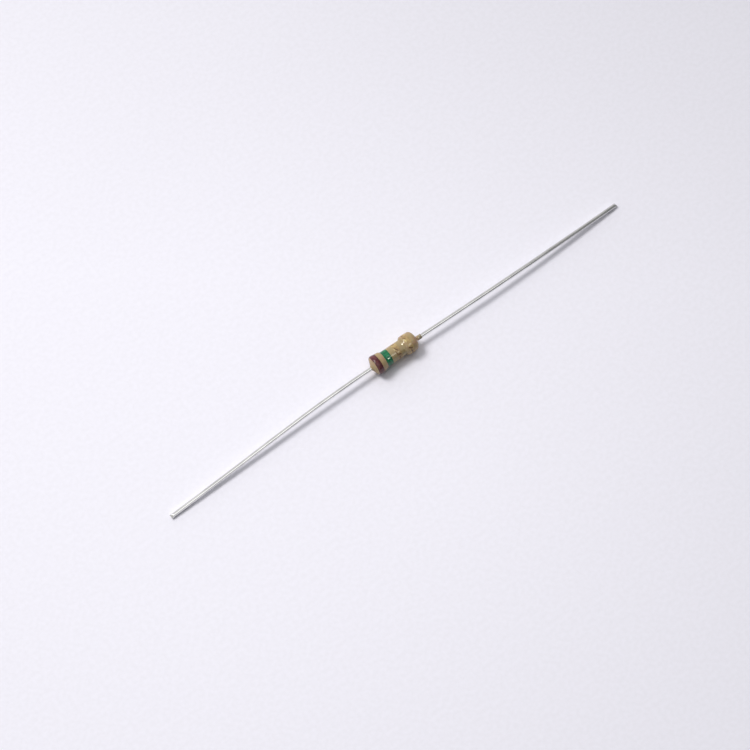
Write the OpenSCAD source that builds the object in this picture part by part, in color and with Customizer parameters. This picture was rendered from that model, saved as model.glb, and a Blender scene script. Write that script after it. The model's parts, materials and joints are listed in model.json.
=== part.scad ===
// Axial resistor: a quarter-watt carbon-film resistor, lying at rest.
// +X runs along the body towards the tolerance band and +Z is up. The origin
// lies on the surface that the part rests on, under the middle of the body.

/* [Body] */
// Length of the lacquered body, between the points where the leads enter it
body_len = 6.4; // [5.4:0.1:8]
// Diameter over the two bulged ends
body_d = 2.4; // [2:0.05:3]
// Length of the left shoulder, the S-curve from the waist up to a bulge
shoulder_left = 0.56; // [0.5:0.02:0.7]
// Length of the right shoulder
shoulder_right = 0.46; // [0.4:0.02:0.8]
// How far past the rim of its cap the left shoulder ends
lap_left = 0.3; // [0.28:0.01:0.4]
// How far past the rim of its cap the right shoulder ends
lap_right = 0.05; // [0:0.01:0.1]
// How much slimmer the left bulge is at its shoulder than under the first band
taper_left = 0.07; // [0.01:0.01:0.08]
// Corner radius of the end by the first band
end_round_left = 0.3; // [0.2:0.02:0.36]
// Corner radius of the end by the tolerance band, where the lacquer sags
end_round_right = 0.56; // [0.3:0.02:0.7]
// Slope of the two end faces, in degrees away from a flat end
end_slope = 22; // [15:1:26]

/* [Lacquer] */
// Thickness over the end caps
coat_on_cap = 0.2; // [0.16:0.01:0.25]
// Thickness over the film
coat_on_film = 0.1; // [0.06:0.01:0.12]
// Distance from the end face of a cap to where its lead leaves the body
end_cover = 0.46; // [0.4:0.01:0.6]
// Thickness on the leads
runout_wall = 0.03; // [0.02:0.01:0.06]
// Radius of the bead in which the lacquer ends on the right lead
bead_r = 0.05; // [0.04:0.01:0.08]
// Radius of the hollow corner where the lacquer climbs onto the left lead
meniscus_left = 0.08; // [0.05:0.01:0.2]
// Radius of the hollow corner where the lacquer climbs onto the right lead
meniscus_right = 0.12; // [0.05:0.01:0.2]
// How far the lacquer runs out along the left lead
runout_left = 0.08; // [0.08:0.02:1.2]
// How far the lacquer runs out along the right lead
runout_right = 0.6; // [0.3:0.02:1.2]

/* [Film and core] */
// Thickness of the carbon film
film_t = 0.03; // [0.02:0.005:0.05]
// Axial distance from one turn of the trimming groove to the next
groove_pitch = 0.48; // [0.3:0.02:0.6]
// Width of the trimming groove along the axis
groove_w = 0.12; // [0.08:0.01:0.2]
// Untrimmed film between a cap's rim and the end of the groove
groove_margin = 0.3; // [0.1:0.05:0.5]
// Chamfer round the ends of the ceramic rod
core_chamfer = 0.1; // [0.05:0.01:0.15]

/* [End caps] */
// Length of an end cap
cap_len = 1.25; // [0.8:0.05:1.5]
// Wall thickness of an end cap
cap_wall = 0.14; // [0.1:0.01:0.16]
// Outer corner radius round the closed end of a cap
cap_round = 0.16; // [0.1:0.01:0.2]

/* [Leads] */
// Diameter of the wire
lead_d = 0.5; // [0.4:0.01:0.6]
// Length of the left lead along the wire, from the end of the body to its tip
lead_left_len = 28.9; // [24:0.1:40]
// Length of the right lead along the wire
lead_right_len = 29.3; // [24:0.1:40]
// Straight wire between the body and the bend of the left lead
root_left = 0.8; // [0.5:0.1:4]
// Straight wire between the body and the bend of the right lead
root_right = 6; // [1:0.1:8]
// Straight wire at the tip of the left lead
tip_left = 17.5; // [4:0.5:18]
// Straight wire at the tip of the right lead
tip_right = 4.5; // [4:0.5:14]
// How far the left tip stands aside of the body, to -Y
aside_left = 1.3; // [0:0.05:2]
// How far the right tip stands aside of the body, to +Y
aside_right = 0.6; // [0:0.05:1]
// Length over which the cutters have pinched the tip of each wire
pinch_len = 0.32; // [0.2:0.02:0.6]
// Thickness that the cut leaves at the very tip
pinch_t = 0.18; // [0.1:0.01:0.3]
// Diameter of the weld that joins a lead to its cap
weld_d = 0.72; // [0.66:0.01:0.9]
// Thickness of the weld's rim
weld_rim = 0.03; // [0.02:0.01:0.05]

/* [Colour bands] */
// Distance from the left end of the body to the middle of the first band
first_band = 0.73; // [0.65:0.01:0.8]
// Distance between the middles of neighbouring bands
band_pitch = 1.4; // [1.2:0.01:1.42]
// How much further than that the tolerance band stands from its neighbour
tolerance_gap = 0.17; // [0:0.01:0.2]
// Width of the first band
brown_w = 0.7; // [0.4:0.01:0.7]
// Width of the second band
green_w = 0.8; // [0.4:0.01:0.9]
// Width of each gold band
gold_w = 0.64; // [0.4:0.01:0.8]
// Thickness of the ink, which lies flush in the lacquer
band_t = 0.04; // [0.03:0.005:0.05]

/* [Hidden] */
$fn = 96;

LEFT = -1;
RIGHT = 1;

// Radii, from the outside in
body_r = body_d / 2;
cap_r = body_r - coat_on_cap;
film_r = cap_r - cap_wall;
core_r = film_r - film_t;
neck_r = film_r + coat_on_film;
lead_r = lead_d / 2;
weld_r = weld_d / 2;
runout_r = lead_r + runout_wall;

// Places along the axis, from the middle of the body outwards
body_end = body_len / 2;
cap_end = body_end - end_cover;
cap_rim = cap_end - cap_len;
core_end = cap_end - cap_wall;
crest_left = cap_rim + lap_left;
crest_right = cap_rim + lap_right;
waist_left = crest_left - shoulder_left;
waist_right = crest_right - shoulder_right;
peak_left = body_end - first_band;

// The trimming groove takes up the bare film between the two caps.
groove_span = 2 * (cap_rim - groove_margin) - groove_w;
groove_turns = groove_span / groove_pitch;
GROOVE_STEPS = 24;      // flats to one turn of the groove
BEND_SLIM = 0.003;      // radius that a bend takes off the wire
BEND_LAP = 0.02;        // degrees by which a bend reaches into a straight

// The bands: place of the middle along the axis, and width
band_at = [for (i = [0:3]) first_band - body_end + i * band_pitch];
BROWN = [band_at[0], brown_w];
GREEN = [band_at[1], green_w];
MULTIPLIER = [band_at[2], gold_w];
TOLERANCE = [band_at[3] + tolerance_gap, gold_w];

// ---- Outlines: x is the distance from the axis, y the place along it ----

// Draws its children for one end of the part: as they are, or mirrored.
module at_end(side) mirror([0, side == LEFT ? 1 : 0]) children();

// The S-curve of a given length from the waist up to the radius top, which it
// reaches at crest: two equal arcs that meet halfway. Here and below, inset
// draws the parallel curve that far under the surface.
module shoulder_outline(length, crest, top, inset) {
    rise = top - neck_r;
    arc_r = (pow(length, 2) + pow(rise, 2)) / (4 * rise);
    hollow = [neck_r + arc_r, crest - length];
    crown = [top - arc_r, crest];
    meet = hollow + (arc_r + inset) * (crown - hollow) / norm(crown - hollow);
    difference() {
        polygon([[0, hollow[1]], [neck_r - inset, hollow[1]], meet, [0, meet[1]]]);
        translate(hollow) circle(r = arc_r + inset);
    }
    intersection() {
        translate(crown) circle(r = arc_r - inset);
        translate([0, meet[1]]) square([top, crest - meet[1]]);
    }
    polygon([[0, meet[1]], meet, crown, [0, crest]]);
}

// One end of the body: a rounded corner, a shallow cone, the hollow corner up
// onto the lead, and the lacquer that has run out along the wire to its lip.
module end_outline(from, corner, meniscus, runout, lip, inset) {
    out = [sin(end_slope), cos(end_slope)];     // square to the cone's face
    turn_r = body_r - corner;
    turn = [turn_r, body_end - (corner + (turn_r - lead_r) * out[0]) / out[1]];
    cone_top = turn + (corner - inset) * out;
    hollow_r = runout_r + meniscus;
    hollow = [hollow_r, body_end + (meniscus - (hollow_r - lead_r) * out[0]) / out[1]];
    cone_foot = hollow - (meniscus + inset) * out;
    runout_end = body_end + runout - inset;

    polygon([
        [0, from], [body_r - inset, from], [body_r - inset, turn[1]],
        turn, cone_top, cone_foot, [0, cone_foot[1]]
    ]);
    translate(turn) intersection() {
        circle(r = corner - inset);
        square(corner);
    }
    difference() {
        polygon([
            [0, cone_foot[1]], cone_foot, hollow,
            [runout_r - inset, hollow[1]], [0, hollow[1]]
        ]);
        translate(hollow) circle(r = meniscus + inset);
    }
    translate([0, cone_foot[1]])
        square([runout_r - inset, runout_end - lip - cone_foot[1]]);
    translate([0, cone_foot[1]]) square([lead_r, runout_end - cone_foot[1]]);
    if (lip > inset) translate([lead_r, runout_end - lip]) circle(r = lip - inset);
}

// The lacquer's outer surface, filled in to the axis.
module coat_outline(inset = 0) {
    top_left = body_r - taper_left;
    translate([0, -waist_left]) square([neck_r - inset, waist_left + waist_right]);
    at_end(LEFT) {
        shoulder_outline(shoulder_left, crest_left, top_left, inset);
        polygon([
            [0, crest_left], [top_left - inset, crest_left],
            [body_r - inset, peak_left], [0, peak_left]
        ]);
        end_outline(peak_left, end_round_left, meniscus_left, runout_left, runout_wall, inset);
    }
    at_end(RIGHT) {
        shoulder_outline(shoulder_right, crest_right, body_r, inset);
        end_outline(crest_right, end_round_right, meniscus_right, runout_right, bead_r, inset);
    }
}

// A ring of ink, from the surface down to band_t under it.
module band_outline(band) {
    difference() {
        intersection() {
            coat_outline();
            translate([0, band[0] - band[1] / 2]) square([body_r, band[1]]);
        }
        coat_outline(band_t);
    }
}

// A cap's outer form.
module cap_outline() {
    translate([0, cap_rim]) square([cap_r, cap_len - cap_round]);
    translate([0, cap_rim]) square([cap_r - cap_round, cap_len]);
    translate([cap_r - cap_round, cap_end - cap_round]) circle(r = cap_round);
}

// The weld, which runs down to the wire in a hollow quarter-circle.
module weld_outline() {
    flank = weld_r - lead_r;
    difference() {
        translate([0, cap_end]) square([weld_r, weld_rim + flank]);
        translate([weld_r, cap_end + weld_rim + flank]) circle(r = flank);
    }
}

// All that the lacquer closes in.
module inside_outline() {
    translate([0, -cap_rim]) square([film_r, 2 * cap_rim]);
    for (side = [LEFT, RIGHT])
        at_end(side) {
            cap_outline();
            weld_outline();
            translate([0, cap_end]) square([lead_r, body_end + runout_right]);
        }
}

// ---- Sub-parts ----

// Turns an outline about the body's axis, which lies above the origin.
module turned() translate([0, 0, body_r]) rotate([0, 90, 0]) rotate_extrude() children();

module ceramic_core() {
    color("whitesmoke") turned()
        polygon([
            [0, -core_end], [core_r - core_chamfer, -core_end],
            [core_r, core_chamfer - core_end], [core_r, core_end - core_chamfer],
            [core_r - core_chamfer, core_end], [0, core_end]
        ]);
}

// The resistive film. A groove cut through it in a helix leaves one long track
// from cap to cap, and its length sets the resistance.
module carbon_film() {
    color("dimgray") difference() {
        turned() translate([core_r, core_chamfer - core_end])
            square([film_t, 2 * (core_end - core_chamfer)]);
        translate([0, 0, body_r]) rotate([0, 90, 0]) trimming_groove();
    }
}

// The path of the grinding wheel: a bar of four corners swept along a helix.
// Its flats start and end clear of the film's inner and outer surfaces.
module trimming_groove() {
    steps = ceil(groove_turns * GROOVE_STEPS);
    inner = core_r - film_t;
    outer = (film_r + film_t) / cos(180 / GROOVE_STEPS);
    corners = [
        [inner, -groove_w / 2], [outer, -groove_w / 2],
        [outer, groove_w / 2], [inner, groove_w / 2]
    ];
    points = [
        for (k = [0:steps], c = corners)
            let (turn = 360 * groove_turns * k / steps)
            [c[0] * cos(turn), c[0] * sin(turn), c[1] + groove_span * (k / steps - 0.5)]
    ];
    sides = [
        for (k = [0:steps - 1], c = [0:3])
            let (a = 4 * k + c, b = 4 * k + (c + 1) % 4)
            each [[a, b, b + 4], [a, b + 4, a + 4]]
    ];
    last = 4 * steps;
    ends = [[3, 2, 1, 0], [last, last + 1, last + 2, last + 3]];
    polyhedron(points, concat(ends, sides));
}

// A cup pressed over one end of the rod, closed at its outer end.
module end_cap(side) {
    color("silver") turned() at_end(side) difference() {
        cap_outline();
        square([film_r, core_end]);
    }
}

// Drop of the wire at the end of a bend of length arc that turns by angle and
// runs on straight for tip.
function drop_at(arc, tip, angle) =
    arc * (1 - cos(angle)) / (angle * PI / 180) + tip * sin(angle);

// The angle at which that drop is aside: starts from the value for a slight
// bend, and takes out what is left of the error in each round.
function bend_angle(arc, tip, aside, rounds = 6) =
    rounds == 0
    ? aside / (arc / 2 + tip) * 180 / PI
    : let (angle = bend_angle(arc, tip, aside, rounds - 1))
      angle + (aside - drop_at(arc, tip, angle)) / (arc / 2 + tip) * 180 / PI;

// The straight end of a wire, cut off by cutters that pinched it to a wedge.
module pinched_tip(length) {
    slope = (lead_r - pinch_t / 2) / pinch_len;
    difference() {
        cylinder(h = length, r = lead_r);
        for (side = [LEFT, RIGHT])
            rotate([90, 0, 0]) linear_extrude(height = 2 * lead_d, center = true)
                polygon([
                    [side * pinch_t / 2, length],
                    [side * (lead_d + pinch_t / 2), length - lead_d / slope],
                    [side * (lead_d + pinch_t / 2), length + lead_d],
                    [side * pinch_t / 2, length + lead_d]
                ]);
    }
}

// The lead that points along +X: welded on, straight out of the body, then in
// one slight bend down and aside, so that its tip lies on the surface. The bend
// is a hair slimmer than the drawn wire, and its ends sit inside the straights.
module lead(length, root, tip, aside) {
    drop = body_r - lead_r;
    arc = length - root - tip;
    angle = bend_angle(arc, tip, norm([drop, aside]));
    bend_r = arc / (angle * PI / 180);
    color("lightgray") {
        turned() {
            weld_outline();
            translate([0, cap_end]) square([lead_r, body_end + root - cap_end]);
        }
        translate([body_end + root, 0, body_r]) rotate([atan2(aside, drop), 0, 0]) {
            translate([0, 0, -bend_r]) rotate([-90, -90, 0])
                rotate_extrude(angle = angle + 2 * BEND_LAP, start = -BEND_LAP)
                translate([bend_r, 0]) circle(r = lead_r - BEND_SLIM);
            translate([bend_r * sin(angle), 0, bend_r * (cos(angle) - 1)])
                rotate([0, 90 + angle, 0]) pinched_tip(tip);
        }
    }
}

module lead_left()
    mirror([1, 0, 0]) lead(lead_left_len, root_left, tip_left, -aside_left);
module lead_right() lead(lead_right_len, root_right, tip_right, aside_right);

// The dipped lacquer, with a shallow seat for each band of ink.
module lacquer_coating() {
    color("burlywood") turned() difference() {
        coat_outline();
        inside_outline();
        for (band = [BROWN, GREEN, MULTIPLIER, TOLERANCE]) band_outline(band);
    }
}

module band_brown() color("maroon") turned() band_outline(BROWN);
module band_green() color("seagreen") turned() band_outline(GREEN);
module band_gold_multiplier() color("darkgoldenrod") turned() band_outline(MULTIPLIER);
module band_gold_tolerance() color("darkgoldenrod") turned() band_outline(TOLERANCE);

ceramic_core();
carbon_film();
end_cap(LEFT);  // end_cap_left
end_cap(RIGHT);  // end_cap_right
lead_left();
lead_right();
lacquer_coating();
band_brown();
band_green();
band_gold_multiplier();
band_gold_tolerance();
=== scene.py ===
"""An axial carbon film resistor lying on a pale table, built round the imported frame.

Lengths are in millimetres up to the point where a mesh is made. x runs along the
body's axis, and r is the distance from it.
"""

import json
import math

import bpy
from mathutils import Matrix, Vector, noise


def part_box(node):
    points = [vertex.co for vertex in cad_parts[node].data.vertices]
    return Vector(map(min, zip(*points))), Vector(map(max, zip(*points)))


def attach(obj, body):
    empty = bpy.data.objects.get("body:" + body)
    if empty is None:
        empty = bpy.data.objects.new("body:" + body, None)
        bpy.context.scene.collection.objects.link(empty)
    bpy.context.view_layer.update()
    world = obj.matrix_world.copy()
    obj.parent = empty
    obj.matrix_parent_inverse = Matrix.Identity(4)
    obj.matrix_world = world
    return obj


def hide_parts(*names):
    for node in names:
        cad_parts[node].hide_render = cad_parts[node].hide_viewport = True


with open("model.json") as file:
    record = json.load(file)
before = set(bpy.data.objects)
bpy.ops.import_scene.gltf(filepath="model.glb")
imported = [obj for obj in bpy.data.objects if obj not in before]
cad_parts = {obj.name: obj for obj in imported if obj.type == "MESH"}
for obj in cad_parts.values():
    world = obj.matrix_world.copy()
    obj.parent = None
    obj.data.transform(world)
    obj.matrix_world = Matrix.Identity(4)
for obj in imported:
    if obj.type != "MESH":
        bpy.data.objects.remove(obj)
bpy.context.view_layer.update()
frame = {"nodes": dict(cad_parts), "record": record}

MM = 0.001


# ---- Sizes that the frame gives ----


def span(node, axis):
    """Lowest and highest coordinate of a CAD node along x, y or z."""
    low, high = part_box(node)
    return getattr(low, axis) / MM, getattr(high, axis) / MM


def radius_of(node):
    low, high = span(node, "z")
    return (high - low) / 2


MOUNTS = {mount["name"]: mount for mount in frame["record"]["mounts"]}
LEFT, RIGHT = -1, 1

AXIS_Z = sum(span("lacquer_coating", "z")) / 2
BODY_R = radius_of("lacquer_coating")
NECK_R = radius_of("band_gold_multiplier")
FILM_R = radius_of("carbon_film")
CAP_R = radius_of("end_cap_right")
CAP_RIM, CAP_END = span("end_cap_right", "x")
WIRE_R = MOUNTS["lead_left_end"]["dims"]["r_mm"]
COAT_ENDS = span("lacquer_coating", "x")
RUNOUT_ENDS = {LEFT: -COAT_ENDS[0], RIGHT: COAT_ENDS[1]}
BANDS = {
    name: span(name, "x")
    for name in ("band_brown", "band_green", "band_gold_multiplier", "band_gold_tolerance")
}

# ---- Sizes of the lacquer's form ----

RUNOUT_LEN = {LEFT: 0.08, RIGHT: 0.6}
BODY_END = RUNOUT_ENDS[LEFT] - RUNOUT_LEN[LEFT]
SHOULDER_LEN = {LEFT: 0.56, RIGHT: 0.46}
TAPER = {LEFT: 0.07, RIGHT: 0.0}    # how much slimmer a swell starts than it is at its peak
LAP = {LEFT: 0.3, RIGHT: 0.05}      # how far past its cap's rim a shoulder ends
SHOULDER_R = {side: BODY_R - TAPER[side] for side in (LEFT, RIGHT)}
CREST_X = {side: CAP_RIM + LAP[side] for side in (LEFT, RIGHT)}
# From the middle of an outer band on, the body has its full radius.
PEAK_X = {LEFT: -sum(BANDS["band_brown"]) / 2, RIGHT: sum(BANDS["band_gold_tolerance"]) / 2}
END_SLOPE = 22          # degrees by which an end's cone is away from flat
CORNER_R = {LEFT: 0.3, RIGHT: 0.56}
MENISCUS_R = {LEFT: 0.08, RIGHT: 0.12}
RUNOUT_WALL = 0.03
LIP_R = {LEFT: RUNOUT_WALL, RIGHT: 0.05}
CAP_ROUND = 0.16
WELD_R = 0.36
WELD_RIM = 0.03

INK_DEPTH = 0.04        # how deep a band's seat is
INK_PROUD = 0.014       # how far the ink stands out of it
INK_CROWN = 4           # power of the ink's crown: the higher, the flatter its middle
LEAN = {LEFT: 0.04, RIGHT: 0.13}    # how far the lacquer sits aside of the leads
LEAN_RISE = 0.3         # height over the lead at which it has all of its lean and waves
LEAD_WAVES = 0.15       # share of the waves that is left in the lacquer on a lead
EDGE_WAVE = 0.035       # how far a band's edge wanders
EDGE_RATE = 1.3         # how quickly it does, round the body
EDGE_FRAY = 0.4         # share of a finer wander on top of that
EDGE_FRAY_RATE = 3      # how many times finer that one is
DIP_WAVE = 0.016        # height of the lacquer's long waves
DIP_WAVE_RATE = 1.1     # and how many of them there are to a millimetre
DIP_RIPPLE = 0.006      # height of its short ones
DIP_RIPPLE_RATE = 3.1
DIP_RIPPLE_SEED = Vector((0, 0, 7))

AROUND = 144            # columns of a turned mesh
STATION_STEP = 0.022    # distance between its rows
MIN_BAND_STEPS = 8      # fewest rows across a band
ARC_STEPS = 24          # flats to a long arc of an outline
SMALL_ARC_STEPS = 8     # flats to a corner inside
LIP_STEPS = 12
SHARP_ANGLE = 35        # degrees at which shading breaks at an edge
HALVINGS = 40           # rounds of a search by halves
BODY_SHARE = 0.8        # share of the body's radius past which an outline is body


# ---- Outlines ----


def arc(centre, radius, start, end, steps=ARC_STEPS):
    """Points along an arc about (x, r), in degrees from the x direction."""
    turns = [math.radians(start + (end - start) * k / steps) for k in range(steps + 1)]
    return [(centre[0] + radius * math.cos(t), centre[1] + radius * math.sin(t)) for t in turns]


def half_outline(side):
    """The lacquer's surface from the waist to the lip on one lead, as if it ran to +x."""
    # Two equal arcs, one hollow and one crowned, make the shoulder's S-curve.
    top, run = SHOULDER_R[side], SHOULDER_LEN[side]
    rise = top - NECK_R
    bow = (run ** 2 + rise ** 2) / (4 * rise)
    hollow = (CREST_X[side] - run, NECK_R + bow)
    crown = (CREST_X[side], top - bow)
    lean = math.degrees(math.atan2(crown[1] - hollow[1], crown[0] - hollow[0]))

    corner, meniscus = CORNER_R[side], MENISCUS_R[side]
    slope = math.radians(END_SLOPE)
    out = (math.cos(slope), math.sin(slope))
    turn_r = BODY_R - corner
    turn = (BODY_END - (corner + (turn_r - WIRE_R) * out[1]) / out[0], turn_r)
    pit_r = WIRE_R + RUNOUT_WALL + meniscus
    pit = (BODY_END + (meniscus - (pit_r - WIRE_R) * out[1]) / out[0], pit_r)
    lip_r = LIP_R[side]
    lip = (RUNOUT_ENDS[side] - lip_r, WIRE_R)
    lip_start = 180 - math.degrees(math.asin(RUNOUT_WALL / lip_r))

    return (
        [(0, NECK_R)]
        + arc(hollow, bow, -90, lean)
        + arc(crown, bow, 180 + lean, 90)
        + [(PEAK_X[side], BODY_R)]
        + arc(turn, corner, 90, END_SLOPE)
        + arc(pit, meniscus, 180 + END_SLOPE, 270)
        + arc(lip, lip_r, lip_start, 0, LIP_STEPS)
    )


def inner_half_outline(side):
    """The cavity from the middle out to the lip: film, cap, weld and lead."""
    corner = (CAP_END - CAP_ROUND, CAP_R - CAP_ROUND)
    return (
        [(0, FILM_R), (CAP_RIM, FILM_R), (CAP_RIM, CAP_R)]
        + arc(corner, CAP_ROUND, 90, 0, SMALL_ARC_STEPS)
        + weld_outline()
        + [(RUNOUT_ENDS[side], WIRE_R)]
    )


def weld_outline():
    """The weld from its rim on the cap down its hollow flank to the lead."""
    flank = WELD_R - WIRE_R
    foot = (CAP_END + WELD_RIM + flank, WELD_R)
    return [(CAP_END, WELD_R)] + arc(foot, flank, 180, 270, SMALL_ARC_STEPS)


def whole(half):
    """Both halves of an outline, from the left lip to the right one."""
    left = [(-x, r) for x, r in reversed(half(LEFT))]
    return left + half(RIGHT)[1:]


OUTLINE = whole(half_outline)


def lengths(outline):
    """Running length at each point of an outline."""
    run = [0.0]
    for (x0, r0), (x1, r1) in zip(outline, outline[1:]):
        run.append(run[-1] + math.hypot(x1 - x0, r1 - r0))
    return run


OUTLINE_RUN = lengths(OUTLINE)


def surface(run):
    """Point and outward normal of the lacquer at a running length: (x, r), (nx, nr)."""
    low, high = 0, len(OUTLINE_RUN) - 1
    while high - low > 1:
        middle = (low + high) // 2
        low, high = (middle, high) if OUTLINE_RUN[middle] <= run else (low, middle)
    (x0, r0), (x1, r1) = OUTLINE[low], OUTLINE[high]
    step = OUTLINE_RUN[high] - OUTLINE_RUN[low]
    f = min(max((run - OUTLINE_RUN[low]) / step, 0), 1)
    return (x0 + (x1 - x0) * f, r0 + (r1 - r0) * f), ((r0 - r1) / step, (x1 - x0) / step)


def run_at(x):
    """Running length where the outline's long middle part passes x."""
    low, high = run_of_turn(LEFT), run_of_turn(RIGHT)
    for _ in range(HALVINGS):
        middle = (low + high) / 2
        low, high = (middle, high) if surface(middle)[0][0] < x else (low, middle)
    return low


def run_of_turn(side):
    """Running length a little way down one rounded end, past every band."""
    limit = BODY_R * BODY_SHARE
    wanted = [k for k, (x, r) in enumerate(OUTLINE) if r > limit]
    return OUTLINE_RUN[wanted[0] if side == LEFT else wanted[-1]]


# ---- The lacquer's uneven surface ----


def swell(x, angle):
    """How far the dipped lacquer stands out from its mean surface."""
    place = Vector((x, math.cos(angle), math.sin(angle)))
    wave = noise.noise(place * DIP_WAVE_RATE)
    ripple = noise.noise(place * DIP_RIPPLE_RATE + DIP_RIPPLE_SEED)
    return DIP_WAVE * wave + DIP_RIPPLE * ripple


def wander(angle, seed):
    """How far a band's edge is off its mean line at an angle round the body."""
    place = Vector((math.cos(angle) * EDGE_RATE, math.sin(angle) * EDGE_RATE, seed))
    fray = EDGE_FRAY * noise.noise(place * EDGE_FRAY_RATE)
    return EDGE_WAVE * (noise.noise(place) + fray)


def coat_point(run, angle, lift=0.0):
    """A point of the body at a running length and angle, lift above the lacquer."""
    (x, r), (nx, nr) = surface(run)
    hold = min(max((r - WIRE_R - RUNOUT_WALL) / LEAN_RISE, 0.0), 1)
    height = swell(x, angle) * max(hold, LEAD_WAVES) + lift
    aside = hold * (LEAN[LEFT] + (LEAN[RIGHT] - LEAN[LEFT]) * (x / BODY_END + 1) / 2)
    x += nx * height
    r += nr * height
    y = aside + r * math.sin(angle)
    z = AXIS_Z + r * math.cos(angle)
    return Vector((x, y, max(z, 0.0)))


# ---- Meshes ----


def mesh_piece(name, rows, wrap_rows, material, slot, *nodes):
    """A closed piece from rings of points, each ring closed on itself.

    With wrap_rows the last ring joins the first. Without, both ends get a cap.
    """
    count = len(rows[0])
    points = [p * MM for row in rows for p in row]
    faces = []
    last = len(rows) if wrap_rows else len(rows) - 1
    for i in range(last):
        a, b = i * count, (i + 1) % len(rows) * count
        faces += [
            (a + j, b + j, b + (j + 1) % count, a + (j + 1) % count) for j in range(count)
        ]
    if not wrap_rows:
        faces.append(tuple(range(count)))
        faces.append(tuple(reversed(range(last * count, last * count + count))))
    mesh = bpy.data.meshes.new(name)
    mesh.from_pydata(points, [], faces)
    mesh.shade_smooth()
    mesh.set_sharp_from_angle(angle=math.radians(SHARP_ANGLE))
    mesh.materials.append(material)
    piece = bpy.data.objects.new(name, mesh)
    bpy.context.scene.collection.objects.link(piece)
    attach(piece, "root")
    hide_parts(*nodes)
    return piece


def angles():
    """The columns of a turned mesh, as angles round the body."""
    return [2 * math.pi * j / AROUND for j in range(AROUND)]


# Mean running length of each band's two edges
BAND_EDGES = {name: [run_at(x) for x in edges] for name, edges in BANDS.items()}
BAND_SEED = 10.0
EDGE_SEED = 5.0


def edge_run(name, end, angle):
    """Running length of a band's first or second edge at an angle round the body."""
    seed = BAND_SEED * sorted(BANDS).index(name) + EDGE_SEED * end
    return BAND_EDGES[name][end] + wander(angle, seed)


def coat_rows():
    """Rings of the lacquer's outer surface, with a seat under each band."""
    stops = [(0.0, None)]
    for name, edges in BAND_EDGES.items():
        stops += [(edges[0], (name, 0)), (edges[1], (name, 1))]
    stops.append((OUTLINE_RUN[-1], None))

    def run_of(stop, angle):
        return stop[0] if stop[1] is None else edge_run(stop[1][0], stop[1][1], angle)

    rows = []
    for first, second in zip(stops, stops[1:]):
        seat = first[1] is not None and second[1] is not None and first[1][0] == second[1][0]
        steps = max(2, round((second[0] - first[0]) / STATION_STEP))
        for k in range(steps + 1):
            rows.append([
                coat_point(
                    run_of(first, t) + (run_of(second, t) - run_of(first, t)) * k / steps,
                    t,
                    -INK_DEPTH if seat else 0.0,
                )
                for t in angles()
            ])
    return rows


def turned_rows(outline):
    """Rings of an outline turned about the body's axis."""
    return [
        [Vector((x, r * math.sin(t), AXIS_Z + r * math.cos(t))) for t in angles()]
        for x, r in outline
    ]


def make_coat(material):
    """The skin of lacquer: its outside, and back along the pieces that it covers."""
    inside = list(reversed(whole(inner_half_outline)))
    rows = coat_rows() + turned_rows(inside)
    return mesh_piece("lacquer", rows, True, material, "lacquer", "lacquer_coating")


# Strokes in the ink of a band, partly pooled ink and partly painted shade and painted dark
# reflections: half width, then points as distance along the axis from the band's middle and
# angle round the body, in degrees from the top.
SMEARS_AND_SHADE = {
    "band_brown": (
        # painted shade over the lower half
        (0.09, (0.16, -2), (0.2, -40), (0.12, -75)),
        # pooled ink at the left edge
        (0.06, (-0.2, 20), (-0.24, -15)),
    ),
    "band_green": (
        # a painted dark reflection
        (0.11, (-0.26, -20), (0.0, -14), (0.3, -20)),
    ),
    "band_gold_multiplier": (
        # pooled ink
        (0.07, (-0.3, 52), (0.05, 44)),
        (0.085, (-0.21, 12), (-0.13, 2), (-0.02, -9)),
        (0.06, (-0.27, -10), (-0.22, -34)),
        # painted shade and painted dark reflection below the middle
        (0.12, (-0.28, -40), (0.13, -46)),
        (0.08, (-0.07, -62), (-0.03, -86)),
        # pooled ink on the far side
        (0.06, (-0.2, 120), (0.1, 150)),
    ),
    "band_gold_tolerance": (
        # pooled ink
        (0.08, (-0.3, 52), (-0.09, 46)),
        (0.06, (-0.28, 28), (-0.11, 17)),
        # painted shade and painted dark reflection below the middle
        (0.11, (-0.28, -38), (0.04, -49)),
        (0.08, (-0.12, -60), (-0.02, -90)),
        # pooled ink on the far side
        (0.07, (-0.1, 100), (0.15, 130)),
    ),
}
# Painted highlights and painted reflections in the ink, given like the strokes above
PAINTED_HIGHLIGHTS = {
    "band_green": ((0.05, (-0.23, -12), (-0.08, -5), (0.08, -4), (0.29, -11)),),
    "band_gold_multiplier": ((0.07, (-0.3, 12), (-0.27, -1)),),
    "band_gold_tolerance": ((0.08, (-0.28, 22), (-0.22, -1)),),
}


STROKE_RAGGED = 0.6     # share by which a stroke's width varies
STROKE_GRAIN = (6, 5)   # how quickly it does, along the axis and round the body
STROKE_SEED = 1.0
STROKE_CORE = 1.3       # weight on a stroke's line, before it is held at 1


def stroke_weight(place, middle, radius, strokes):
    """How strongly the strokes cover a place (x, angle): 1 on their lines, 0 far off."""

    def flat(x, degrees):
        return Vector((x, math.radians(degrees) * radius))

    here = flat(place[0] - middle, math.degrees(place[1]))
    grain = Vector((place[0] * STROKE_GRAIN[0], place[1] * STROKE_GRAIN[1], STROKE_SEED))
    ragged = 1 + STROKE_RAGGED * noise.noise(grain)
    weight = 0.0
    for half_width, *points in strokes:
        for start, end in zip(points, points[1:]):
            a, b = flat(*start), flat(*end)
            f = min(max((here - a).dot(b - a) / (b - a).length_squared, 0.0), 1.0)
            distance = (here - a - (b - a) * f).length
            weight = max(weight, STROKE_CORE - distance / (half_width * ragged))
    return min(max(weight, 0.0), 1.0)


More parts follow.
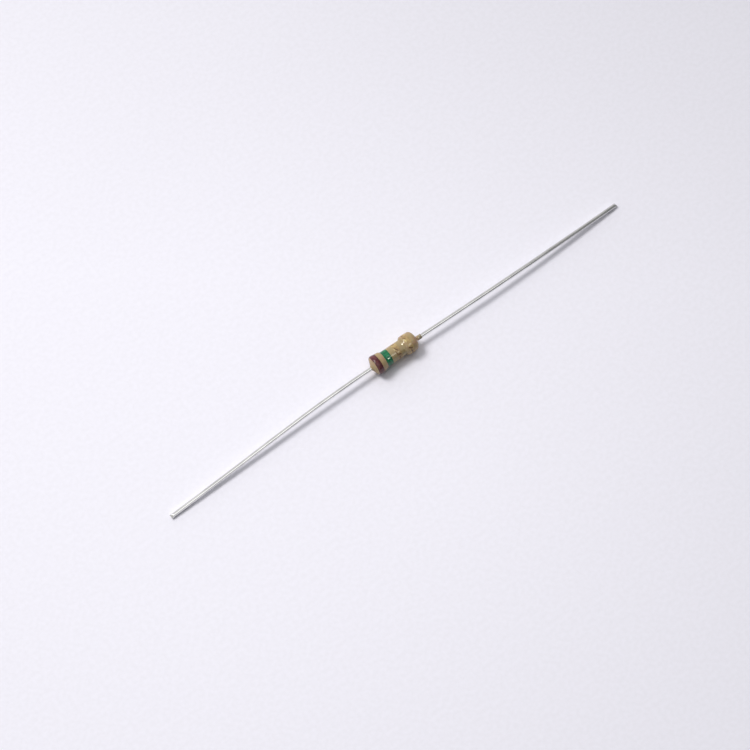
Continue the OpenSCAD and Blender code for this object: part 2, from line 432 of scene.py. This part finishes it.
def make_band(name, piece_name, material, slot):
    """A ring of ink in its seat, a hair proud, with edges that taper off."""
    width = BAND_EDGES[name][1] - BAND_EDGES[name][0]
    steps = max(MIN_BAND_STEPS, round(width / STATION_STEP))

    def ring(f, lift):
        row = []
        for t in angles():
            start, end = edge_run(name, 0, t), edge_run(name, 1, t)
            row.append(coat_point(start + (end - start) * f, t, lift))
        return row

    def crown(f):
        return INK_PROUD * (1 - (2 * f - 1) ** INK_CROWN)

    top = [ring(k / steps, crown(k / steps)) for k in range(steps + 1)]
    under = [ring(k / steps, -INK_DEPTH) for k in range(steps, -1, -1)]
    piece = mesh_piece(piece_name, top + under, True, material, slot, name)

    rim = piece.data.attributes.new("rim", "FLOAT", "POINT")
    across = [abs(2 * k / steps - 1) for k in range(steps + 1)]
    for row, value in enumerate(across + across[::-1]):
        for j in range(AROUND):
            rim.data[row * AROUND + j].value = value

    middle = sum(BANDS[name]) / 2
    radius = radius_of(name)
    # layers of smears (pooled ink and painted shade) and of painted highlights
    for title, strokes in (("smear", SMEARS_AND_SHADE), ("gleam", PAINTED_HIGHLIGHTS)):
        if name not in strokes:
            continue
        layer = piece.data.attributes.new(title, "FLOAT", "POINT")
        for vertex in piece.data.vertices:
            x, y, z = vertex.co / MM
            place = (x, math.atan2(y, z - AXIS_Z))
            layer.data[vertex.index].value = stroke_weight(place, middle, radius, strokes[name])
    return piece


# ---- Leads ----

WIRE_AROUND = 28        # columns of a wire's mesh
WIRE_STEP = 0.48        # distance between its rows
MIN_WIRE_STEPS = 24     # fewest rows in a bend or a straight end
ROOT_STEPS = 40         # rows from the body to the bend
CUT_STEPS = 12          # rows in the pinched tip
CUT_LEN = 0.32          # how far from its end the cutters have pinched a wire
CUT_LEFT = 0.36         # share of the thickness that the cut leaves
CUT_SPREAD = 0.12       # share by which the cut end is wider
CUT_CURVE = 1.5         # power of the pinch: the higher, the more hollow its flanks
WIRE_WAVE = 0.012       # how far drawn wire strays from its straight line
WIRE_WAVE_LEN = 5       # length of such a wave
WIRE_HOLD = 6           # distance from the body or the tip at which the waves are whole
WIRE_SEED = 3.0
WIRE_UP_SEED = Vector((0, 9, 0))
WIRE_BOW = {LEFT: -0.045, RIGHT: 0.0}   # how far its middle is bowed aside


def wire_line(side):
    """The lead's centre line: straight out of the body, a bend, straight to the tip."""
    mount = MOUNTS["lead_left_end" if side == LEFT else "lead_right_end"]
    middle = Vector(mount["pos_m"]) / MM
    axis = Vector(mount["axis"]).normalized()
    tip_len = mount["dims"]["length_mm"]
    bend_end = middle - axis * tip_len / 2
    tip = middle + axis * tip_len / 2

    tangent = bend_end.y / axis.y
    crossing = bend_end - axis * tangent
    out = Vector((side, 0, 0))
    bend_start = crossing - out * tangent
    angle = out.angle(axis)
    bend_r = tangent / math.tan(angle / 2)
    inward = (axis - out * axis.dot(out)).normalized()

    start = Vector((side * (CAP_END + WELD_RIM + WELD_R - WIRE_R), 0, AXIS_Z))
    straight = (bend_start - start).length
    line = [start + out * straight * k / ROOT_STEPS for k in range(ROOT_STEPS)]
    bends = max(MIN_WIRE_STEPS, round(bend_r * angle / WIRE_STEP))
    for k in range(bends):
        turn = angle * k / bends
        forward = out * bend_r * math.sin(turn)
        line.append(bend_start + forward + inward * bend_r * (1 - math.cos(turn)))
    ends = max(MIN_WIRE_STEPS, round(tip_len / WIRE_STEP))
    line += [bend_end + axis * tip_len * k / ends for k in range(ends)]
    line += [tip - axis * CUT_LEN * (1 - k / CUT_STEPS) for k in range(CUT_STEPS + 1)]
    return line


def strayed(line, side):
    """Gives the centre line the slight waves of real wire, none of them at the body."""
    made = []
    for p in line:
        from_body = (abs(p.x) - BODY_END) / WIRE_HOLD
        from_tip = (line[-1] - p).length / WIRE_HOLD
        hold = min(max(from_body, 0), 1) * min(max(from_tip, 0), 1)
        place = Vector((p.x / WIRE_WAVE_LEN, side * WIRE_SEED, 0))
        sideways = hold * (WIRE_WAVE * noise.noise(place) + WIRE_BOW[side])
        upward = WIRE_WAVE * hold * noise.noise(place + WIRE_UP_SEED)
        made.append(p + Vector((0, sideways, upward)))
    return made


def make_lead(side, piece_name, material, node):
    """A wire with its weld at one end and the cutters' pinch at the other."""
    line = strayed(wire_line(side), side)
    rows = []
    turns = [2 * math.pi * j / WIRE_AROUND for j in range(WIRE_AROUND)]
    for x, r in weld_outline()[:-1]:
        rows.append([
            Vector((side * x, r * math.sin(t), AXIS_Z + r * math.cos(t))) for t in turns
        ])
    for k, p in enumerate(line):
        ahead = line[min(k + 1, len(line) - 1)] - line[max(k - 1, 0)]
        ahead.normalize()
        across = Vector((0, 0, 1)).cross(ahead).normalized() * side
        upward = ahead.cross(across).normalized() * side
        to_end = (line[-1] - p).length
        pinch = max(0.0, 1 - to_end / CUT_LEN) ** CUT_CURVE
        flat = 1 - (1 - CUT_LEFT) * pinch
        spread = 1 + CUT_SPREAD * pinch
        rows.append([
            p + across * WIRE_R * spread * math.sin(t) + upward * WIRE_R * flat * math.cos(t)
            for t in turns
        ])
    if side == LEFT:
        rows = [list(reversed(row)) for row in rows]
    return mesh_piece(piece_name, rows, False, material, "lead_tinned", node)


# ---- Materials ----

# Sockets of a colour mix node: its factor and its two colours
MIX_FACTOR, MIX_FIRST, MIX_SECOND = 0, 6, 7
MIX_RESULT = 2

# Values between which noise mostly lies
NOISE_LOW, NOISE_HIGH = 0.3, 0.7


class Surface:
    """A material with one Principled shader, and short calls to wire nodes to it."""

    def __init__(self, name, **fixed):
        self.material = bpy.data.materials.new(name)
        self.material.use_nodes = True
        self.tree = self.material.node_tree
        self.shader = self.tree.nodes["Principled BSDF"]
        self.normal = None
        for socket, value in fixed.items():
            self.shader.inputs[socket.replace("_", " ")].default_value = value
        self.coords = self.tree.nodes.new("ShaderNodeTexCoord").outputs["Object"]

    def link(self, source, target):
        self.tree.links.new(source, target)

    def shade(self, socket, source):
        self.link(source, self.shader.inputs[socket])

    def stretched(self, scale):
        """Object coordinates with their own scale on each axis."""
        mapping = self.tree.nodes.new("ShaderNodeMapping")
        mapping.inputs["Scale"].default_value = scale
        self.link(self.coords, mapping.inputs["Vector"])
        return mapping.outputs["Vector"]

    def noise(self, size, detail=2.0, coords=None, distortion=0.0):
        """Noise whose features are about size millimetres across."""
        texture = self.tree.nodes.new("ShaderNodeTexNoise")
        texture.inputs["Scale"].default_value = 1 / (size * MM)
        texture.inputs["Detail"].default_value = detail
        texture.inputs["Distortion"].default_value = distortion
        self.link(coords or self.coords, texture.inputs["Vector"])
        return texture.outputs["Fac"]

    def ramp(self, source, *stops):
        """A colour for each place on a scale from 0 to 1."""
        ramp = self.tree.nodes.new("ShaderNodeValToRGB")
        elements = ramp.color_ramp.elements
        while len(elements) < len(stops):
            elements.new(position=0.5)
        for element, (place, colour) in zip(elements, stops):
            element.position = place
            element.color = (*colour, 1)
        self.link(source, ramp.inputs["Fac"])
        return ramp.outputs["Color"]

    def spread(self, source, low, high, to_low=0.0, to_high=1.0):
        """Maps low..high to to_low..to_high, held at both ends."""
        node = self.tree.nodes.new("ShaderNodeMapRange")
        for socket, value in (
            ("From Min", low), ("From Max", high), ("To Min", to_low), ("To Max", to_high)
        ):
            node.inputs[socket].default_value = value
        self.link(source, node.inputs["Value"])
        return node.outputs["Result"]

    def mix(self, factor, first, second, blend="MIX"):
        """Mixes two colours, each a socket or a constant."""
        node = self.tree.nodes.new("ShaderNodeMix")
        node.data_type = "RGBA"
        node.blend_type = blend
        for socket, value in (
            (MIX_FACTOR, factor), (MIX_FIRST, first), (MIX_SECOND, second)
        ):
            if isinstance(value, bpy.types.NodeSocket):
                self.link(value, node.inputs[socket])
            elif socket == MIX_FACTOR:
                node.inputs[socket].default_value = value
            else:
                node.inputs[socket].default_value = (*value, 1)
        return node.outputs[MIX_RESULT]

    def math(self, operation, first, second=0.0):
        """A sum, product or the like of two numbers, each a socket or a constant."""
        node = self.tree.nodes.new("ShaderNodeMath")
        node.operation = operation
        for socket, value in enumerate((first, second)):
            if isinstance(value, bpy.types.NodeSocket):
                self.link(value, node.inputs[socket])
            else:
                node.inputs[socket].default_value = value
        return node.outputs[0]

    def along(self, x, y):
        """Distance from the origin along a level direction, given by its x and y."""
        return self.math(
            "ADD", self.math("MULTIPLY", self.part_of("X"), x),
            self.math("MULTIPLY", self.part_of("Y"), y)
        )

    def distance_from(self, x, y):
        """Level distance from a place given in millimetres."""
        east = self.math("SUBTRACT", self.part_of("X"), x * MM)
        north = self.math("SUBTRACT", self.part_of("Y"), y * MM)
        squares = self.math(
            "ADD", self.math("MULTIPLY", east, east), self.math("MULTIPLY", north, north)
        )
        return self.math("SQRT", squares)

    def rough(self, patches, low, high):
        """Roughness that varies from low to high with a noise."""
        self.shade("Roughness", self.spread(patches, NOISE_LOW, NOISE_HIGH, low, high))

    def attribute(self, name):
        """A number that the mesh carries at each point."""
        node = self.tree.nodes.new("ShaderNodeAttribute")
        node.attribute_name = name
        return node.outputs["Fac"]

    def part_of(self, axis):
        """One of the object coordinates."""
        node = self.tree.nodes.new("ShaderNodeSeparateXYZ")
        self.link(self.coords, node.inputs[0])
        return node.outputs[axis]

    def bump(self, source, depth):
        """Adds a bump, so many millimetres deep, to those that are there already."""
        bump = self.tree.nodes.new("ShaderNodeBump")
        bump.inputs["Strength"].default_value = 1.0
        bump.inputs["Distance"].default_value = depth * MM
        self.link(source, bump.inputs["Height"])
        if self.normal:
            self.link(self.normal, bump.inputs["Normal"])
        self.normal = bump.outputs["Normal"]
        self.shade("Normal", self.normal)

    def rippled(self, stretch, ripple, grain):
        """Drawn-out ripples and fine grain, each given as its size and its depth."""
        waves = self.noise(ripple[0], detail=1, coords=self.stretched(stretch))
        self.bump(waves, ripple[1])
        self.bump(self.noise(grain[0]), grain[1])


# The lacquer, from its dark patches to its pale ones
TAN = (
    (0.3, (0.335, 0.24, 0.118)),
    (0.5, (0.38, 0.275, 0.14)),
    (0.7, (0.425, 0.313, 0.165)),
)
# Each stain in it: colour, size, stretch, the noise over which it sets in, and strength
STAINS = (
    ((0.43, 0.25, 0.16), 0.5, (1.0, 0.8, 1.3), (0.48, 0.66), 0.75),
    ((0.34, 0.29, 0.12), 0.6, (1.0, 1.3, 0.8), (0.5, 0.68), 0.6),
)
FLECK = (0.30, 0.20, 0.09)
FLECK_SIZE = 0.16
FLECK_FADE = (0.6, 0.72)            # noise over which a fleck sets in
FLECK_STRENGTH = 0.5
WAIST = (0.345, 0.28, 0.14)         # over the dark film
WAIST_FADE = (1.1, 1.5)             # distances from the middle over which it ends
WAIST_STRENGTH = 0.6
ON_LEAD = (0.29, 0.245, 0.155)      # where it runs out along the right lead
ON_LEAD_FADE = (0.1, 0.3)           # distances past the body over which it starts
DRAWN_OUT = (1.0, 0.25, 0.25)       # stretches ripples round the body
RIPPLE = (0.42, 0.034)              # size and depth
GRAIN = (0.1, 0.001)


def lacquer_material():
    """Glossy tan lacquer with stains and flecks, duller over the film and on a lead."""
    s = Surface("lacquer", IOR=1.5, Specular_IOR_Level=0.45)
    colour = s.ramp(s.noise(size=0.9, detail=3), *TAN)
    for stain, size, stretch, fade, strength in STAINS:
        patches = s.noise(size, coords=s.stretched(stretch))
        colour = s.mix(s.spread(patches, *fade, 0.0, strength), colour, stain)
    flecks = s.spread(s.noise(FLECK_SIZE, detail=3), *FLECK_FADE, 0.0, FLECK_STRENGTH)
    colour = s.mix(flecks, colour, FLECK)
    from_middle = s.math("ABSOLUTE", s.part_of("X"))
    start, end = (x * MM for x in WAIST_FADE)
    colour = s.mix(s.spread(from_middle, start, end, WAIST_STRENGTH, 0.0), colour, WAIST)
    start, end = ((BODY_END + x) * MM for x in ON_LEAD_FADE)
    colour = s.mix(s.spread(s.part_of("X"), start, end), colour, ON_LEAD)
    s.shade("Base Color", colour)
    s.rough(s.noise(size=0.5), low=0.06, high=0.16)
    s.rippled(DRAWN_OUT, RIPPLE, GRAIN)
    return s.material


# Each ink in its light and dark patches, and the pale colour of its painted highlights
BROWN = ((0.17, 0.05, 0.052), (0.075, 0.014, 0.02), (0.25, 0.09, 0.09))
GREEN = ((0.018, 0.225, 0.082), (0.006, 0.095, 0.05), (0.07, 0.33, 0.18))
POOLS = (0.35, 0.65)    # noise over which ink goes from its dark tone to its light one
RIM_START = 0.55        # share of a ring's half width at which it starts to darken
RIM_DARK = 0.75         # how far ink darkens at the ring's edges
SMEAR_AND_SHADE_DARK = 0.7        # how far it does in the smears, which are pooled ink and painted shade
HIGHLIGHT_PALE = 0.6        # how far it pales in a painted highlight
INK_RIPPLE = (0.3, 0.026)
INK_GRAIN = (0.08, 0.001)


def ink_material(name, light, dark, pale):
    """Glossy ink, darker at the ring's edges, where it has pooled and where shade is painted,
    and paler in painted highlights.
    """
    s = Surface(name, IOR=1.5, Specular_IOR_Level=0.45)
    tones = zip(POOLS, (dark, light))
    colour = s.ramp(s.noise(size=0.3, detail=4), *tones)
    rim = s.spread(s.attribute("rim"), RIM_START, 1.0, 0.0, RIM_DARK)
    # painted highlights pale the ink
    colour = s.mix(s.math("MULTIPLY", s.attribute("gleam"), HIGHLIGHT_PALE), colour, pale)
    # smears darken the ink: pooled ink and painted shade
    pooled_and_shaded = s.math("MULTIPLY", s.attribute("smear"), SMEAR_AND_SHADE_DARK)
    s.shade("Base Color", s.mix(s.math("MAXIMUM", rim, pooled_and_shaded), colour, dark))
    s.rough(s.noise(size=0.25), low=0.05, high=0.12)
    s.rippled(DRAWN_OUT, INK_RIPPLE, INK_GRAIN)
    return s.material


BRASSY = (
    (0.38, (0.34, 0.225, 0.10)),
    (0.5, (0.40, 0.275, 0.125)),
    (0.66, (0.50, 0.37, 0.16)),
)
HIGHLIGHT_GOLD = (0.72, 0.6, 0.3)
POOLED_AND_SHADED_GOLD = (0.115, 0.055, 0.03)
SMEAR_NOISE_SIZE = 0.12
SMEAR_NOISE_FADE = (0.35, 0.6)         # noise over which the smears pass from weaker into whole
SMEAR_NOISE_STRENGTH = (0.65, 1.0)     # how strong a smear is in the one and in the other
HIGHLIGHT_METAL = 0.4               # how metallic a painted highlight is
GOLD_DRAWN_OUT = (1.0, 0.4, 0.4)
GOLD_RIPPLE = (0.3, 0.018)
GOLD_GRAIN = (0.07, 0.002)


def gold_ink_material():
    """Worn gold ink: tan where it is thin, brown where it has pooled and where shade is
    painted, bright in painted highlights.
    """
    s = Surface("ink_gold", IOR=1.5, Specular_IOR_Level=0.4)
    colour = s.ramp(s.noise(size=0.45, detail=3, distortion=0.6), *BRASSY)
    # painted highlights, bright and a little metallic
    gleam = s.attribute("gleam")
    colour = s.mix(gleam, colour, HIGHLIGHT_GOLD)
    # smears of pooled ink and painted shade, broken up by a noise
    smear_strength = s.spread(s.noise(SMEAR_NOISE_SIZE, detail=3), *SMEAR_NOISE_FADE, *SMEAR_NOISE_STRENGTH)
    pooled_and_shaded = s.math("MULTIPLY", s.attribute("smear"), smear_strength)
    s.shade("Base Color", s.mix(pooled_and_shaded, colour, POOLED_AND_SHADED_GOLD))
    s.shade("Metallic", s.math("MULTIPLY", gleam, HIGHLIGHT_METAL))
    s.rough(s.noise(size=0.2), low=0.12, high=0.24)
    s.rippled(GOLD_DRAWN_OUT, GOLD_RIPPLE, GOLD_GRAIN)
    return s.material


TIN = ((0.3, (0.74, 0.74, 0.74)), (0.7, (0.86, 0.86, 0.85)))
SHADED_TIN = (0.42, 0.43, 0.42)
PAINTED_SHADE_FADE = (12, 27)    # places along x over which shade is painted onto the right lead
PAINTED_SHADE_STRENGTH = 0.3
DRAWN_WIRE = (0.06, 9.0, 9.0)   # stretches scratches along the wire


def wire_material():
    """Tin, with scratches along the wire and painted shade on the right lead's outer end."""
    s = Surface("tinned_wire", Metallic=1.0)
    scratches = s.noise(size=1.0, detail=3, coords=s.stretched(DRAWN_WIRE))
    stains = s.noise(size=1.6, detail=3)
    start, end = (x * MM for x in PAINTED_SHADE_FADE)
    # painted shade: the right lead grows darker towards its tip
    painted_shade = s.spread(s.part_of("X"), start, end, 0.0, PAINTED_SHADE_STRENGTH)
    s.shade("Base Color", s.mix(painted_shade, s.ramp(stains, *TIN), SHADED_TIN))
    s.rough(stains, low=0.09, high=0.16)
    s.bump(scratches, depth=0.003)
    s.bump(s.noise(size=0.5), depth=0.004)
    return s.material


PLATING = ((0.3, (0.6, 0.6, 0.58)), (0.7, (0.75, 0.75, 0.73)))
CARBON = ((0.3, (0.018, 0.018, 0.02)), (0.7, (0.04, 0.04, 0.043)))
CERAMIC = ((0.3, (0.74, 0.72, 0.67)), (0.7, (0.84, 0.82, 0.78)))


def plated_material():
    s = Surface("plated_cap", Metallic=1.0)
    s.shade("Base Color", s.ramp(s.noise(size=0.6, detail=3), *PLATING))
    s.rough(s.noise(size=0.2), low=0.28, high=0.42)
    s.bump(s.noise(size=0.15, detail=3), depth=0.003)
    return s.material


def carbon_material():
    s = Surface("carbon", IOR=1.6)
    s.shade("Base Color", s.ramp(s.noise(size=0.3, detail=4), *CARBON))
    s.rough(s.noise(size=0.2), low=0.4, high=0.6)
    s.bump(s.noise(size=0.06, detail=3), depth=0.003)
    return s.material


def ceramic_material():
    s = Surface("ceramic", IOR=1.6)
    s.shade("Base Color", s.ramp(s.noise(size=0.8, detail=4), *CERAMIC))
    s.rough(s.noise(size=0.3), low=0.6, high=0.75)
    s.bump(s.noise(size=0.05, detail=4), depth=0.004)
    return s.material


PAPER = ((0.35, (0.875, 0.86, 0.92)), (0.65, (0.905, 0.89, 0.955)))
# The table has painted falloff of light: it darkens a little along two level directions, each
# with the places where that starts and ends, and the shares of its paleness there
PAINTED_FALLOFF = (
    ((0.8, -0.6), (-20, 42), (0.98, 0.935)),
    ((0.6, 0.8), (10, 50), (1.0, 0.92)),
)
LIGHT_POOL_AT = (-3, -16)   # a painted pool of light makes it a little paler round this place
LIGHT_POOL_REACH = 55
LIGHT_POOL_GAIN = 1.06


def table_material():
    """Pale paper with painted falloff of light and a painted pool of light over the table."""
    s = Surface("table", Roughness=0.75, IOR=1.45)
    first, second = (
        s.spread(s.along(*way), start * MM, end * MM, *shares)
        for way, (start, end), shares in PAINTED_FALLOFF
    )
    # painted pool of light
    pale = s.spread(s.distance_from(*LIGHT_POOL_AT), 0.0, LIGHT_POOL_REACH * MM, LIGHT_POOL_GAIN, 1.0)
    # painted light: the falloff and the pool together, multiplied into the paper
    shade = s.math("MULTIPLY", s.math("MULTIPLY", first, second), pale)
    paper = s.ramp(s.noise(size=0.5, detail=4), *PAPER)
    s.shade("Base Color", s.mix(1.0, paper, shade, blend="MULTIPLY"))
    s.bump(s.noise(size=0.5, detail=3), depth=0.01)
    return s.material


# ---- The object ----

GOLD = gold_ink_material()
BROWN_INK = ink_material("ink_brown", *BROWN)
GREEN_INK = ink_material("ink_green", *GREEN)
make_coat(lacquer_material())
make_band("band_brown", "ink_ring_brown", BROWN_INK, "ink_brown")
make_band("band_green", "ink_ring_green", GREEN_INK, "ink_green")
make_band("band_gold_multiplier", "ink_ring_gold_multiplier", GOLD, "ink_gold")
make_band("band_gold_tolerance", "ink_ring_gold_tolerance", GOLD, "ink_gold")

WIRE = wire_material()
WIRES = [
    make_lead(LEFT, "wire_left", WIRE, "lead_left"),
    make_lead(RIGHT, "wire_right", WIRE, "lead_right"),
]

PLATED = plated_material()
for node, material in (
    ("ceramic_core", ceramic_material()),
    ("carbon_film", carbon_material()),
    ("end_cap_left", PLATED),
    ("end_cap_right", PLATED),
):
    for slot in frame["nodes"][node].material_slots:
        slot.material = material


# ---- Table, lights and camera ----

CAMERA_AZIMUTH = -35.5      # degrees from looking along +y
CAMERA_ELEVATION = 67.7
CAMERA_DISTANCE = 400
CAMERA_TARGET = Vector((-3.211, -0.694, 0.623))
CAMERA_CLIP = (0.01, 20)    # metres
SENSOR = 36
LENS = 166.85

TABLE_SIZE = 6000

# Lamps: the direction that each stands in, its distance and width, and the
# brightness that it gives a level white surface
KEY_FROM = Vector((-0.35, 0.57, 1.0))
KEY_DISTANCE = 420
KEY_WIDTH = 155
KEY_LEVEL = 0.47
KEY_COLOUR = (1.0, 0.985, 0.985)
GLINT_FROM = Vector((0.25, -0.62, 0.73))
GLINT_DISTANCE = 500
GLINT_WIDTH = 30
GLINT_LEVEL = 0.05
GLINT_COLOUR = (1.0, 1.0, 0.86)
SPARK_FROM = Vector((-0.55, 0.24, 0.8))
SPARK_WIDTH = 36
SPARK_LEVEL = 1.3

# The sky lights matt surfaces: where it is brightest, its colour there and opposite
SKY_AT = (0.0, 0.75, 0.66)
SKY = (0.90, 0.91, 0.93)
SKY_AWAY = (0.05, 0.05, 0.052)

# The room shows in glossy surfaces: a far wall to +y, a near one to -y, a darker
# doorway to +x with a black post beside it, and a softbox overhead
FAR_WALL = (0.7, 0.69, 0.68)
NEAR_WALL = (0.55, 0.54, 0.54)
DOORWAY = (0.27, 0.27, 0.27)
POST = (0.03, 0.03, 0.03)
SOFTBOX_AT = (0.0, -0.4, 0.92)
SOFTBOX = (1.3, 1.3, 1.3)

# What the camera sees past the table
BACKDROP = (0.80, 0.79, 0.85)

# Parts of a direction over which one part of the room passes into the next
POST_EDGE = (0.17, 0.25)
FAR_EDGE = (-0.3, 0.4)
SOFTBOX_EDGE = (0.87, 0.96)
DOORWAY_EDGE = (0.335, 0.4)
DOORWAY_FAR_EDGE = (0.0, 0.6)
SKY_EDGE = (-0.1, 0.9)


def make_table():
    half = TABLE_SIZE * MM / 2
    mesh = bpy.data.meshes.new("table")
    corners = [(-half, -half, 0), (half, -half, 0), (half, half, 0), (-half, half, 0)]
    mesh.from_pydata(corners, [], [(0, 1, 2, 3)])
    mesh.materials.append(table_material())
    table = bpy.data.objects.new("table", mesh)
    bpy.context.scene.collection.objects.link(table)
    return table


def make_lamp(name, towards, distance, width, level, colour):
    """A round lamp that lights a level white surface at the origin to level."""
    direction = towards.normalized()
    lamp = bpy.data.lights.new(name, "AREA")
    lamp.shape = "DISK"
    lamp.size = width * MM
    lamp.color = colour
    lamp.energy = level * (math.pi * distance * MM) ** 2 / direction.z
    holder = bpy.data.objects.new(name, lamp)
    holder.location = direction * distance * MM
    holder.rotation_mode = "QUATERNION"
    holder.rotation_quaternion = direction.to_track_quat("Z", "Y")
    bpy.context.scene.collection.objects.link(holder)
    return holder


def highlights_only(lamp, *spared):
    """Keeps a lamp out of matt surfaces, and off the spared pieces altogether."""
    lamp.visible_diffuse = False
    receivers = bpy.data.collections.new(lamp.name)
    for piece in spared:
        receivers.objects.link(piece)
    for member in receivers.collection_objects:
        member.light_linking.link_state = "EXCLUDE"
    lamp.light_linking.receiver_collection = receivers


def make_world():
    """A sky for matt surfaces, a room for glossy ones, and a backdrop for the camera."""
    world = bpy.data.worlds.new("room")
    bpy.context.scene.world = world
    world.use_nodes = True
    tree = world.node_tree
    nodes, links = tree.nodes, tree.links
    nodes.clear()

    def background(colour):
        made = nodes.new("ShaderNodeBackground")
        made.inputs["Color"].default_value = (*colour, 1)
        return made

    def mixed(factor, first, second):
        made = nodes.new("ShaderNodeMixShader")
        links.new(factor, made.inputs[0])
        links.new(first.outputs[0], made.inputs[1])
        links.new(second.outputs[0], made.inputs[2])
        return made

    def rise(source, low, high):
        made = nodes.new("ShaderNodeMapRange")
        made.interpolation_type = "SMOOTHSTEP"
        made.inputs["From Min"].default_value = low
        made.inputs["From Max"].default_value = high
        links.new(source, made.inputs["Value"])
        return made.outputs["Result"]

    path = nodes.new("ShaderNodeLightPath")
    coords = nodes.new("ShaderNodeTexCoord")
    split = nodes.new("ShaderNodeSeparateXYZ")
    links.new(coords.outputs["Generated"], split.inputs[0])

    def facing(direction):
        made = nodes.new("ShaderNodeVectorMath")
        made.operation = "DOT_PRODUCT"
        made.inputs[1].default_value = direction
        links.new(coords.outputs["Generated"], made.inputs[0])
        return made.outputs["Value"]

    seen = nodes.new("ShaderNodeMath")
    seen.operation = "MAXIMUM"
    links.new(path.outputs["Is Glossy Ray"], seen.inputs[0])
    links.new(path.outputs["Is Transmission Ray"], seen.inputs[1])

    x, y = split.outputs["X"], split.outputs["Y"]
    near = mixed(rise(x, *POST_EDGE), background(NEAR_WALL), background(POST))
    walls = mixed(rise(y, *FAR_EDGE), near, background(FAR_WALL))
    west = mixed(rise(facing(SOFTBOX_AT), *SOFTBOX_EDGE), walls, background(SOFTBOX))
    east = mixed(rise(y, *DOORWAY_FAR_EDGE), background(DOORWAY), background(FAR_WALL))
    room = mixed(rise(x, *DOORWAY_EDGE), west, east)
    sky = mixed(rise(facing(SKY_AT), *SKY_EDGE), background(SKY_AWAY), background(SKY))
    lit = mixed(seen.outputs[0], sky, room)
    final = mixed(path.outputs["Is Camera Ray"], lit, background(BACKDROP))
    output = nodes.new("ShaderNodeOutputWorld")
    links.new(final.outputs[0], output.inputs["Surface"])


def make_camera():
    a, e = math.radians(CAMERA_AZIMUTH), math.radians(CAMERA_ELEVATION)
    back = Vector((math.sin(a) * math.cos(e), -math.cos(a) * math.cos(e), math.sin(e)))
    data = bpy.data.cameras.new("camera")
    data.sensor_width = SENSOR
    data.lens = LENS
    data.clip_start, data.clip_end = CAMERA_CLIP
    camera = bpy.data.objects.new("camera", data)
    camera.location = (CAMERA_TARGET + back * CAMERA_DISTANCE) * MM
    camera.rotation_mode = "QUATERNION"
    camera.rotation_quaternion = (-back).to_track_quat("-Z", "Y")
    bpy.context.scene.collection.objects.link(camera)
    bpy.context.scene.camera = camera


TABLE = make_table()
make_lamp("key", KEY_FROM, KEY_DISTANCE, KEY_WIDTH, KEY_LEVEL, KEY_COLOUR)
for name, towards, width, level in (
    ("glint", GLINT_FROM, GLINT_WIDTH, GLINT_LEVEL),
    ("spark", SPARK_FROM, SPARK_WIDTH, SPARK_LEVEL),
):
    lamp = make_lamp(name, towards, GLINT_DISTANCE, width, level, GLINT_COLOUR)
    highlights_only(lamp, TABLE, *WIRES)
make_world()
make_camera()
bpy.context.scene.view_settings.view_transform = "Standard"
